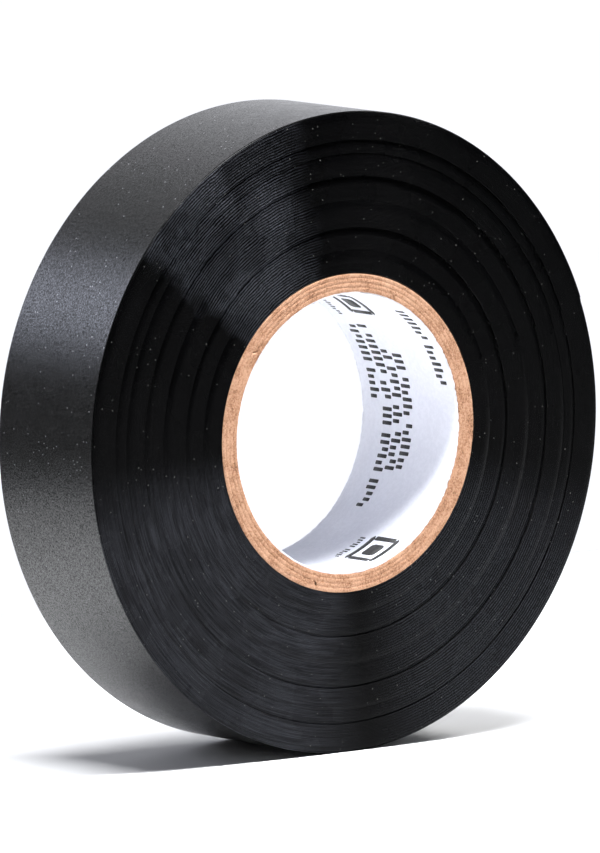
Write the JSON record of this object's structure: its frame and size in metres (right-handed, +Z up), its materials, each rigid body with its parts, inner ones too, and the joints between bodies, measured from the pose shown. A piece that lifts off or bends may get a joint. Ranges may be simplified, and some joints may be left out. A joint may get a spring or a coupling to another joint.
{
  "type": "electrical tape roll",
  "caption": "Roll of black vinyl electrical tape on a paper core, standing on its rim, with a free end that peels off.",
  "frame": {"origin": "on the axis of the core's bore, halfway through the roll's width", "axes": "+Y along the bore, away from the front face; +Z up as the roll stands on its rim; +X to the right as seen from the front"},
  "size_m": [0.0808, 0.0194, 0.081],
  "materials": {
    "tape_film": "satin",
    "kraft_paper": "matte",
    "liner_paper": "matte"
  },
  "bodies": {
    "roll": {"core_liner": "liner_paper", "core_ply_1": "kraft_paper", "core_ply_2": "kraft_paper", "core_ply_3": "kraft_paper", "core_ply_4": "kraft_paper", "tape_band_1": "tape_film", "tape_band_2": "tape_film", "tape_band_3": "tape_film", "tape_band_4": "tape_film", "tape_band_5": "tape_film", "tape_band_6": "tape_film", "tape_band_7": "tape_film", "outer_wrap": "tape_film"},
    "tail_base": {"tail_base": "tape_film"},
    "tail_tip": {"tail_tip": "tape_film"}
  },
  "joints": [
    {"name": "tail_peel", "type": "hinge", "parent": "roll", "child": "tail_base", "pos_m": [0.01395, 0, 0.03811], "axis": [0, -1, 0], "range_deg": [0, 120]},
    {"name": "tip_lift", "type": "hinge", "parent": "tail_base", "child": "tail_tip", "pos_m": [0.02874, 0, 0.02869], "axis": [0, -1, 0], "range_deg": [0, 120]}
  ]
}
